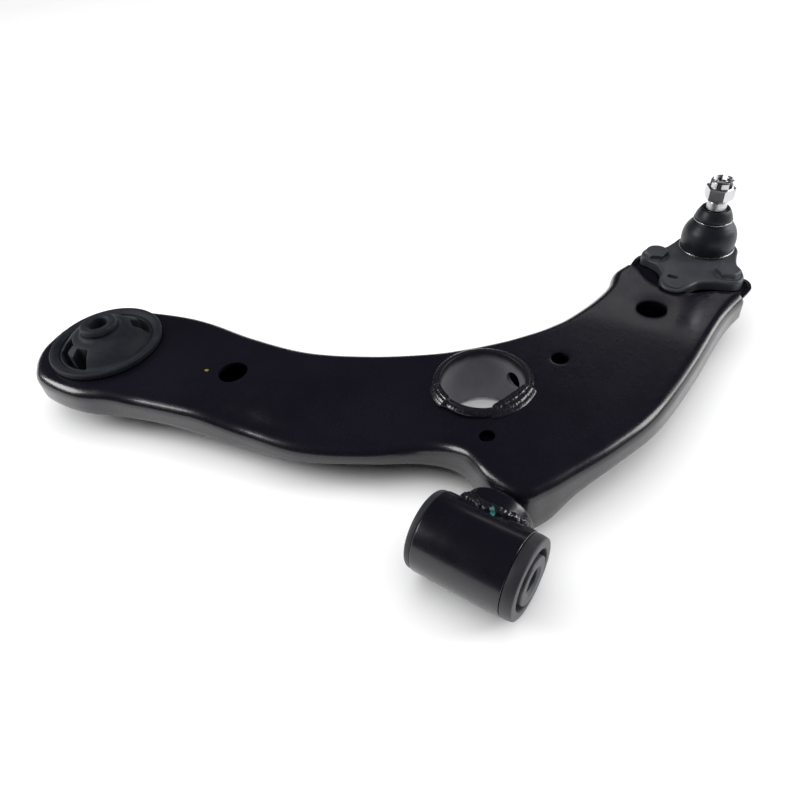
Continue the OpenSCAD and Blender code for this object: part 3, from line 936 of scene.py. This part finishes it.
def neck_housing_weld():
    """A chain of overlapping lumps where the barrel meets the housing."""
    work = bmesh.new()
    ring_r = 22.0
    for a in turns(64):
        x = NECK[0] + ring_r * cos(a)
        z = NECK[1] + ring_r * sin(a)
        y = sqrt(max(HOUSING_R ** 2 - z * z, 0)) if abs(z) < HOUSING_R else 0.0
        wobble = noise.noise(Vector((cos(a) * 2.1, sin(a) * 2.1, 5)))
        r = 3.2 + 0.8 * wobble
        place = Vector((x, y + 1.2, z)) * MM
        bmesh.ops.create_icosphere(work, subdivisions=3, radius=r * MM, matrix=Matrix.Translation(place))
    obj = remeshed(from_bmesh("neck_housing_bead", work), 0.6, 2)
    roughen(obj, 0.9, 420)
    bore_x(obj, HOUSING_R - 0.4, 96)
    smooth(obj, 50)
    return finish_piece(obj, "arm", "arm_paint", WELD, "neck_housing_weld")


def neck_arm_weld():
    rows = []
    for a in turns(200):
        swell = 1 + 0.12 * sin(a * 23) + 0.1 * noise.noise(Vector((cos(a) * 4, sin(a) * 4, 2)))
        row = []
        for out, along in ((0.2, 0), (3.0, 0), (2.6, 1.6), (1.2, 3.4), (0.2, 4.3)):
            r = NECK_R + out * swell
            row.append((NECK[0] + r * cos(a), BEAD_Y + along, NECK[1] + r * sin(a)))
        rows.append(row)
    rows.append(rows[0])
    points, faces = strip(rows, closed=True)
    obj = smooth(make_object("neck_arm_bead", points, faces, merge=1e-3), 60)
    return finish_piece(obj, "arm", "arm_paint", WELD, "neck_arm_weld")


def front_bush():
    housing = [(22, -HOUSING_HALF), (HOUSING_R, -HOUSING_HALF), (HOUSING_R, HOUSING_HALF), (22, HOUSING_HALF)]
    finish_piece(turned("front_housing_tube", housing, axis="x", radius=0.9, segments=192),
                 "arm", "arm_paint", PAINT, "front_bush_housing")
    sleeve = [(20, -HOUSING_HALF), (22, -HOUSING_HALF), (22, HOUSING_HALF), (20, HOUSING_HALF)]
    finish_piece(turned("front_outer_sleeve_tube", sleeve, axis="x", radius=0.3),
                 "arm", "bush_steel", SLEEVE, "front_bush_outer_sleeve")
    lip = HOUSING_R - 0.6
    rubber_profile = [
        (FRONT_INNER_R, -24), (18.5, -24.6), (18.5, -32.6), (lip - 1.0, -32.6), (lip, -31.2), (lip, -28.3),
        (20, -28.1), (20, 28.1), (lip, 28.3), (lip + 0.2, 31), (lip - 0.5, 35.2), (18.5, 35.5), (18.3, 24.6),
        (FRONT_INNER_R, 24)]
    radii = [0, 2, 1.2, 0.8, 1.0, 0.3, 0, 0, 0.3, 1.4, 1.0, 1.2, 2, 0]
    finish_piece(turned("front_rubber_lips", rubber_profile, axis="x", radius=radii, segments=192),
                 "arm", "bush_rubber", LIP_RUBBER, "front_bush_rubber")
    x0, x1 = -34.0, 36.5
    inner = [(BOLT_BORE, x0 + 1.2), (BOLT_BORE + 1.6, x0), (FRONT_INNER_R, x0), (FRONT_INNER_R, x1),
             (BOLT_BORE + 1.9, x1), (BOLT_BORE, x1 - 1.4)]
    finish_piece(turned("front_inner_sleeve_tube", inner, axis="x", radius=[0.3, 0.3, 1.0, 1.0, 0.4, 0.3]),
                 "front_sleeve", "bush_steel", SLEEVE, "front_bush_inner_sleeve")


# ---------------------------------------------------------------- rear bush
def rear_bush():
    ring = [(36, -15), (39, -15), (39, 14.6), (43.2, 15.2), (43.4, 17.4), (43.7, 17.8), (43.7, 19.2),
            (42.6, 20.1), (40.2, 20.1), (38.4, 19.2), (36.6, 18.2), (36, 16)]
    finish_piece(turned("rear_outer_ring", ring, REAR, radius=0.6, segments=192),
                 "arm", "bush_rubber", BUSH_RUBBER, "rear_bush_outer_ring")
    sleeve = [(BOLT_BORE, -20), (11, -20), (11, 30.8), (13.2, 31.4), (14, 32.6), (14, 35.6), (12.6, 37),
              (9.0, 37), (BOLT_BORE, 35.4)]
    finish_piece(turned("rear_inner_sleeve_tube", sleeve, REAR, radius=0.7, segments=128),
                 "rear_sleeve", "bush_steel", BUSH_RUBBER, "rear_bush_inner_sleeve")
    rear_rubber()


def kidney_tool(mid, r0, r1, half, z0, z1, steps=24):
    """Closed ring sector used to cut a kidney-shaped void."""
    rows = []
    for k in range(steps + 1):
        a = radians(mid - half + 2 * half * k / steps)
        rows.append([(REAR[0] + r * cos(a), REAR[1] + r * sin(a), z)
                     for r, z in ((r0, z0), (r1, z0), (r1, z1), (r0, z1))])
    points, faces = strip(rows, closed=True)
    faces += [(0, 1, 2, 3), tuple(len(points) - 4 + i for i in (3, 2, 1, 0))]
    return make_object("tool", points, faces)


VOID_MIDDLES = (82, 262)
REAR_SPLIT = 10.0


def rear_rubber():
    profile = [(11.2, -18), (20, -15), (35.8, -8), (35.8, 17.6), (33.8, 17.8), (31.5, 20.5), (28, 24.6),
               (22, 28.2), (17, 29.2), (15.6, 30.4), (14.4, 30.9), (11.2, 31)]
    radii = [0.3, 2, 1, 0.5, 1, 2, 4, 4, 0.8, 0.5, 0.5, 0.3]
    solid = turned("rear_rubber_dome", profile, REAR, radius=radii, segments=128)
    for mid in VOID_MIDDLES:
        for side in (-1, 1):
            cut(solid, kidney_tool(mid + 21.5 * side, 22.5, 34, 12.5, -40, 60))
        cut(solid, kidney_tool(mid, 29.5, 34, 12, -40, 60))
    remeshed(solid, 0.6, 3)
    smooth(solid, 180)
    upper, lower = halves(solid, REAR_SPLIT, (("rear_rubber_upper", True), ("rear_rubber_lower", False)))
    for obj, z0, z1 in ((upper, 18.5, 30.5), (lower, -8.0, -16.5)):
        obj.data.shade_smooth()
        finish_piece(obj, None, "bush_rubber", BUSH_RUBBER, "rear_bush_rubber")
        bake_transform(obj)


# ---------------------------------------------------------------- ball joint
PLATE_OUTLINE = [
    (-18.5, 311), (-17.5, 318), (-11.5, 323), (-5, 327), (-1.5, 336), (2, 348), (10.5, 358.5), (24.5, 363),
    (38.5, 358.5), (47, 348), (49.5, 336), (52.5, 325.5), (58, 318), (61.5, 309), (60, 300.5), (52, 296.5),
    (43, 293.5), (34, 288), (29.5, 279.5), (24, 272.8), (16, 272), (9.5, 275), (6, 282), (5, 290.5),
    (-0.5, 298.5), (-8.5, 303), (-16, 305)]


def plate_height(x, y):
    """Top of the forged plate: flat, dipping at the nose and in the seats of the bolt heads."""
    z = PLATE_TOP
    z -= 2.2 * ease((281 - y) / 12)
    for ex, ey in EARS:
        z -= 0.9 * ease((11.5 - hypot(x - ex, y - ey)) / 2.5)
    z += 0.8 * ease((24.5 - hypot(x - BALL[0], y - BALL[1])) / 4)
    return z


def ball_joint_plate():
    outline = through(PLATE_OUTLINE, 8, closed=True)[::-1]
    normals = plan_normals(outline, True)
    if np.dot(outline[0] - np.array(BALL), normals[0]) < 0:
        normals = -normals
    radius, steps = 2.2, 6
    rows = []
    for k in range(steps + 1):
        a = radians(90 - 90 * k / steps)
        pts = outline - radius * (1 - cos(a)) * normals
        drop = radius * (1 - sin(a))
        rows.append([(x, y, plate_height(px, py) - drop) for (x, y), (px, py) in zip(pts, outline)])

    def under(y):
        lap = ease((279 - y) / 3)
        return 11.2 * (1 - lap) + 15.2 * lap

    rows.append([(x, y, under(y) + 1.0) for x, y in outline])
    rows.append([(*(p - n), under(p[1])) for p, n in zip(outline, normals)])
    side = strip(rows, closed=True)
    inner_top = np.array([(p[0], p[1]) for p in rows[0]])
    inner_bottom = np.array([(p[0], p[1]) for p in rows[-1]])
    mouth = circle(BALL, SOCKET_R, 96)
    slot_hole = np.array([(14.5 + copysign(2.0, cos(a)) + 2.3 * cos(a),
                           286.3 + 2.3 * sin(a)) for a in np.linspace(0, 2 * pi, 33)[:-1]])
    holes = [mouth, slot_hole] + [circle(e, 5.2, 32) for e in EARS]
    extra = [p for e in EARS for r in (9, 10.3, 11.6) for p in circle(e, r, 36)]
    verts, faces = fill_plan(inner_top, holes, 2.2, extra)
    top = [(x, y, plate_height(x, y)) for x, y in verts]
    verts_b, faces_b = fill_plan(inner_bottom, holes, 3.0)
    bottom = [(x, y, under(y)) for x, y in verts_b]
    tunnels = []
    for h in holes:
        upper = [(x, y, plate_height(x, y)) for x, y in h]
        lower = [(x, y, under(y)) for x, y in h]
        tunnels.append(strip([upper, lower], closed=True))
    obj = join("ball_joint_plate", [side, (top, faces), (bottom, faces_b)] + tunnels, merge=0.01)
    bevel(obj, 0.35, 55)
    smooth(obj, 38)
    finish_piece(obj, "arm", "forging", FORGING, "ball_joint_housing")
    cup = [(16.6, -14), (20.5, -14), (20.5, 21.4), (SOCKET_R, 21.4), (12.8, 14), (16.6, 13.6)]
    finish_piece(turned("ball_joint_cup", cup, BALL, radius=0.7, segments=160), "arm", "forging", FORGING)


def ball_arc(r, first, last, count):
    """(r, z) points round the ball's centre, by degrees from straight up."""
    return [(r * sin(a), BALL_Z + r * cos(a))
            for a in np.linspace(radians(first), radians(last), count)]


def ball_joint_inside():
    seat = [(AXIS_R, -9.8), (SOCKET_R, -9.8), (SOCKET_R, 13.1), (12.1, 13.1), (12.0, 12.6)]
    seat += ball_arc(BALL_R + 0.05, 57.5, 178, 24)
    finish_piece(turned("ball_seat_cup", seat, BALL, radius=0), "arm", "seat_plastic", PLASTIC, "ball_seat")
    cap = [(AXIS_R, -13.4), (12, -13.4), (14, -12.4), (SOCKET_R, -12.4), (SOCKET_R, -10), (AXIS_R, -10)]
    finish_piece(turned("ball_joint_cap_disc", cap, BALL, radius=0.6),
                 "arm", "forging", FORGING, "ball_joint_end_cap")


def ear_fasteners():
    parts = {"bolts": [], "nuts": []}
    for e in EARS:
        head = hex_body(EAR_FLATS, PLATE_TOP - 0.7, PLATE_TOP + 4.0, turn=17, chamfer_top=True)
        flange = lathe(fillet([(AXIS_R, PLATE_TOP - 0.85), (9.6, PLATE_TOP - 0.85), (9.8, PLATE_TOP - 0.2),
                               (7.6, PLATE_TOP + 0.8), (AXIS_R, PLATE_TOP + 0.8)], 0.4), 64)
        shank = lathe(fillet([(AXIS_R, -3.4), (4.2, -3.4), (5, -2.6), (5, PLATE_TOP),
                              (AXIS_R, PLATE_TOP)], 0.3), 48)
        nut = hex_body(EAR_FLATS, -0.3, 7.6, turn=41, chamfer_top=True, chamfer_bottom=True, hole=5.05)
        parts["bolts"] += [moved(shape, e) for shape in (head, flange, shank)]
        parts["nuts"].append(moved(nut, e))
    bolts = smooth(join("ear_bolts", parts["bolts"], merge=1e-4), 30)
    finish_piece(bolts, "arm", "forging", FORGING, "ball_joint_bolts")
    nuts = smooth(join("ear_nuts", parts["nuts"], merge=1e-4), 30)
    finish_piece(nuts, "arm", "forging", FORGING, "ball_joint_nuts")


def hex_radius(angle, flats):
    third = pi / 3
    return flats / 2 / cos((angle % third) - third / 2)


def hex_body(flats, z0, z1, turn=0.0, chamfer_top=False, chamfer_bottom=False, hole=AXIS_R, segments=180):
    """Hexagon whose corners are turned off by a 30-degree cone, as (points, faces)."""
    rise = tan(radians(30))
    heights = np.linspace(z0, z1, 15)
    rows = []
    for a in turns(segments):
        row = [(hole, z0)]
        for z in heights:
            r = hex_radius(a, flats)
            if chamfer_top:
                r = min(r, flats * 0.475 + (z1 - z) / rise)
            if chamfer_bottom:
                r = min(r, flats * 0.475 + (z - z0) / rise)
            row.append((r, z))
        row.append((hole, z1))
        t = a + radians(turn)
        rows.append([(r * cos(t), r * sin(t), z) for r, z in row])
    rows.append(rows[0])
    return strip(rows, closed=True)


BOOT_SEAM = 30.0


def boot():
    outer = [(19.4, 21.9), (20.0, 24.5), (20.7, 29), (20.4, 34), (18.8, 39), (16.0, 43.2), (14.2, 45.4),
             (13.5, 46.4), (13.4, 47.4), (13.9, 48.4), (13.4, 50.6), (12.0, 53.6), (10.6, 55.8), (9.6, 56.2)]
    inner = [(8.5, 55.6), (8.55, 50), (9.4, 46.5), (12.4, 43.4), (15.8, 38.6), (18.1, 33.6), (18.4, 29),
             (17.8, 25), (17.3, 21.9)]
    profile = [tuple(p) for p in through(outer, 5)] + [tuple(p) for p in through(inner, 4)]
    whole = make_object("boot_whole", *moved(lathe(profile, 144), BALL), merge=1e-4)
    lower, upper = halves(whole, BOOT_SEAM, (("dust_boot_lower", False), ("dust_boot_upper", True)))
    for obj in (lower, upper):
        finish_piece(smooth(obj, 60), None, "boot_rubber", BOOT_RUBBER, "dust_boot")
    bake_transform(lower)
    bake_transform(upper)
    for name, at, r, body, node in (("boot_base_ring", (20.2, 22.4), 0.75, "arm", "boot_lower_ring"),
                                    ("boot_neck_ring", (13.9, 47.2), 0.6, "boot_collar", "boot_upper_ring")):
        finish_piece(turned(name, circle(at, r, 16).tolist(), BALL, radius=0, segments=144),
                     body, "ring_steel", RING, node)


NUT_Z, NUT_H, NUT_FLATS = 64.0, 15.0, 19.0
THREAD_R, THREAD_PITCH, THREAD_DEPTH = 5.95, 1.25, 0.68
# Least radius the thread tapers to at its end
TIP_R = 3.8
SLOT_W = 3.4


def stud():
    ball = ball_arc(BALL_R, 153, 26.5, 30)
    shank = [(6.2, 19), (6.2, 24), (6.6, 27), (8.6, 41), (7.25, 62.2), (6.6, 62.9), (5.3, 63.3),
             (5.3, 64.5), (AXIS_R, 64.5)]
    profile = [(AXIS_R, ball[0][1])] + ball + shank
    radii = [0] * (len(ball) + 1) + [1, 1, 3, 1.2, 0.5, 0.3, 0.2, 0, 0]
    body = lathe(fillet(profile, radii), 144)
    rows_per_turn, z0, z1, segments = 10, 63.2, 76.8, 96
    count = int((z1 - z0) / THREAD_PITCH) * rows_per_turn
    points, faces = [], []
    for s, a in enumerate(turns(segments)):
        for j in range(count + 1):
            z = z0 + THREAD_PITCH * (j / rows_per_turn + s / segments)
            phase = j % rows_per_turn / rows_per_turn
            depth = THREAD_DEPTH * (1 - abs(2 * phase - 1))
            end = max(0.0, (z - (z1 - 1.0)) * 0.8)
            r = max(THREAD_R - depth - end, TIP_R)
            points.append((r * cos(a), r * sin(a), min(z, z1)))
    for s in range(segments):
        for j in range(count):
            a0 = s * (count + 1) + j
            if s < segments - 1:
                b0 = a0 + count + 1
                faces.append((a0, b0, b0 + 1, a0 + 1))
            elif j + rows_per_turn + 1 <= count:
                b0 = j + rows_per_turn
                faces.append((a0, b0, b0 + 1, a0 + 1))
    tip = lathe([(AXIS_R, z1 - 0.1), (4.6, z1 - 0.1), (4.0, z1 + 0.2), (AXIS_R, z1 + 0.2)], 48)
    shapes = [moved(shape, BALL) for shape in (body, (points, faces), tip)]
    obj = smooth(join("ball_stud_body", shapes, merge=1e-4), 35)
    return finish_piece(obj, "stud", "stud_steel", STUD, "ball_stud")


def castle_nut():
    crown_z = NUT_Z + 9.5
    top = NUT_Z + NUT_H
    rise = tan(radians(30))
    rows = []
    for a in turns(240):
        row = [(THREAD_R + 0.5, NUT_Z), (THREAD_R + 1.0, NUT_Z)]
        for z in np.linspace(NUT_Z, crown_z, 14):
            r = min(hex_radius(a, NUT_FLATS), NUT_FLATS * 0.48 + (z - NUT_Z) / rise,
                    NUT_FLATS * 0.50 + 0.3 + (crown_z + 0.4 - z) / rise * 1.4)
            row.append((r, z))
        row += [(8.9, crown_z + 0.5), (8.5, crown_z + 1.0), (8.4, top - 0.8), (7.9, top), (6.7, top),
                (THREAD_R + 0.1, top - 0.8)]
        rows.append([(r * cos(a) + BALL[0], r * sin(a) + BALL[1], z) for r, z in row])
    rows.append(rows[0])
    points, faces = strip(rows, closed=True)
    obj = make_object("castle_nut_body", points, faces, merge=1e-4)
    for a in (30, 90, 150):
        work = bmesh.new()
        bmesh.ops.create_cube(work, size=1.0)
        tool = from_bmesh("tool", work)
        tool.matrix_world = (Matrix.Translation((BALL[0] * MM, BALL[1] * MM, (crown_z + 0.6 + 5) * MM))
                             @ Matrix.Rotation(radians(a), 4, "Z")
                             @ Matrix.Diagonal((30 * MM, SLOT_W * MM, 10 * MM, 1)))
        bpy.context.view_layer.update()
        cut(obj, tool)
    bevel(obj, 0.3, 35)
    smooth(obj, 28)
    return finish_piece(obj, "stud", "nut_zinc", ZINC, "castle_nut")


# ---------------------------------------------------------------- paint marks
def dab(name, x, y, length, width, turn, colour, targets):
    """Irregular spot of paint laid on whatever lies under a plan point."""
    rings, spokes, height = 5, 20, 0.0001
    turn = radians(turn)
    hits = []
    for j in range(rings + 1):
        for a in turns(spokes):
            edge_r = j / rings * (1 + 0.25 * noise.noise(Vector((cos(a) * 2, sin(a) * 2, length))))
            u, v = length / 2 * edge_r * cos(a), width / 2 * edge_r * sin(a)
            px = x + u * cos(turn) - v * sin(turn)
            py = y + u * sin(turn) + v * cos(turn)
            best = None
            for obj in targets:
                found, point, normal, _ = obj.ray_cast(Vector((px, py, 90)) * MM, Vector((0, 0, -1)))
                if found and (best is None or point.z > best[0].z):
                    best = (point, normal)
            point, normal = best
            hits.append(tuple((point + normal * height * (0.5 + (1 - j / rings))) / MM))
    faces = []
    for j in range(rings):
        for k in range(spokes):
            a, b = j * spokes + k, j * spokes + (k + 1) % spokes
            faces.append((a, b, b + spokes, a + spokes))
    obj = smooth(make_object(name, hits, faces, merge=1e-4), 80)
    return finish_piece(obj, "arm", "arm_paint", colour)


def paint_dabs():
    """Inspection marks: a blue-green one on the neck, a yellow speck beside the rear tooling hole."""
    pieces = bpy.data.objects
    neck = [pieces[k] for k in ("neck_housing_bead", "front_neck_barrel", "front_housing_tube")]
    dab("neck_mark", 3.0, 15.5, 6.5, 2.6, -62, mark("blue_green_mark", (0.03, 0.16, 0.15)), neck)
    dab("hole_mark", -244.2, 28.1, 3.6, 2.4, 20, mark("yellow_mark", (0.20, 0.16, 0.02)),
        [pieces["upper_shell_skin"]])


# ---------------------------------------------------------------- stage, lights, camera
def stage():
    size, z = 6.0, cad_box[0][2] - 0.0004
    mesh = bpy.data.meshes.new("floor")
    corners = [(-size, -size, z), (size, -size, z), (size, size, z), (-size, size, z)]
    mesh.from_pydata(corners, [], [(0, 1, 2, 3)])
    floor = link("floor", mesh)
    n = Nodes("floor")
    colour = n.ramp(n.noise(2.0, 2), [(0.3, (0.86, 0.86, 0.865)), (0.7, (0.89, 0.89, 0.895))])
    floor.data.materials.append(n.done(Base_Color=colour, Roughness=0.9, Specular_IOR_Level=0.1))


def area_light(name, place, target, size, power, size_y):
    data = bpy.data.lights.new(name, "AREA")
    data.energy = power
    data.shape = "RECTANGLE"
    data.size = size
    data.size_y = size_y
    obj = link(name, data)
    obj.location = place
    direction = Vector(target) - Vector(place)
    obj.rotation_euler = direction.to_track_quat("-Z", "Y").to_euler()


def lights():
    middle = (-0.15, 0.15, 0)
    sky = bpy.data.lights.new("sky", "SUN")
    sky.energy = 3.0
    sky.angle = radians(80)
    link("sky", sky).visible_glossy = False
    area_light("left_card", (-1.35, -0.75, 0.85), middle, 0.8, 14, 0.6)
    area_light("right_card", (1.4, 1.1, 0.95), middle, 0.7, 16, 0.85)
    area_light("bend_card", (1.15, 1.75, 0.42), middle, 0.7, 6, 0.5)
    area_light("far_card", (-0.40, 1.95, 1.02), (0.0, 0.25, 0), 0.8, 0.6, 0.3)
    world = bpy.data.worlds.new("studio")
    world.use_nodes = True
    inputs = world.node_tree.nodes["Background"].inputs
    inputs["Color"].default_value = (0.9, 0.92, 1.0, 1)
    inputs["Strength"].default_value = 0.04
    bpy.context.scene.world = world


def camera():
    data = bpy.data.cameras.new("camera")
    data.sensor_width = 36.0
    data.lens = 29.69
    data.clip_start = 0.01
    obj = link("camera", data)
    right = Vector((0.823, 0.5608, -0.0907)).normalized()
    up = Vector((-0.331, 0.6031, 0.7257)).normalized()
    back = right.cross(up)
    obj.matrix_world = Matrix.Translation((0.1091, -0.1835, 0.3207)) @ Matrix(
        (right, up, back)).transposed().to_4x4()
    bpy.context.scene.camera = obj


camera()
lights()
stage()
upper_shell()
lower_shell()
seam_weld()
centre_tube()
tube_weld("tube_weld_top", 17.0, 1, "centre_tube_upper_weld", ((-17, 33, 0.9), (236, 17, 0.0)))
tube_weld("tube_weld_under", -22.0, -1, "centre_tube_lower_weld", ((40, 24, 0.0), (150, 20, 0.0)))
front_neck()
neck_housing_weld()
neck_arm_weld()
front_bush()
rear_bush()
ball_joint_plate()
ball_joint_inside()
ear_fasteners()
boot()
stud()
castle_nut()
paint_dabs()

bpy.context.scene.view_settings.view_transform = "Standard"
bpy.context.view_layer.update()
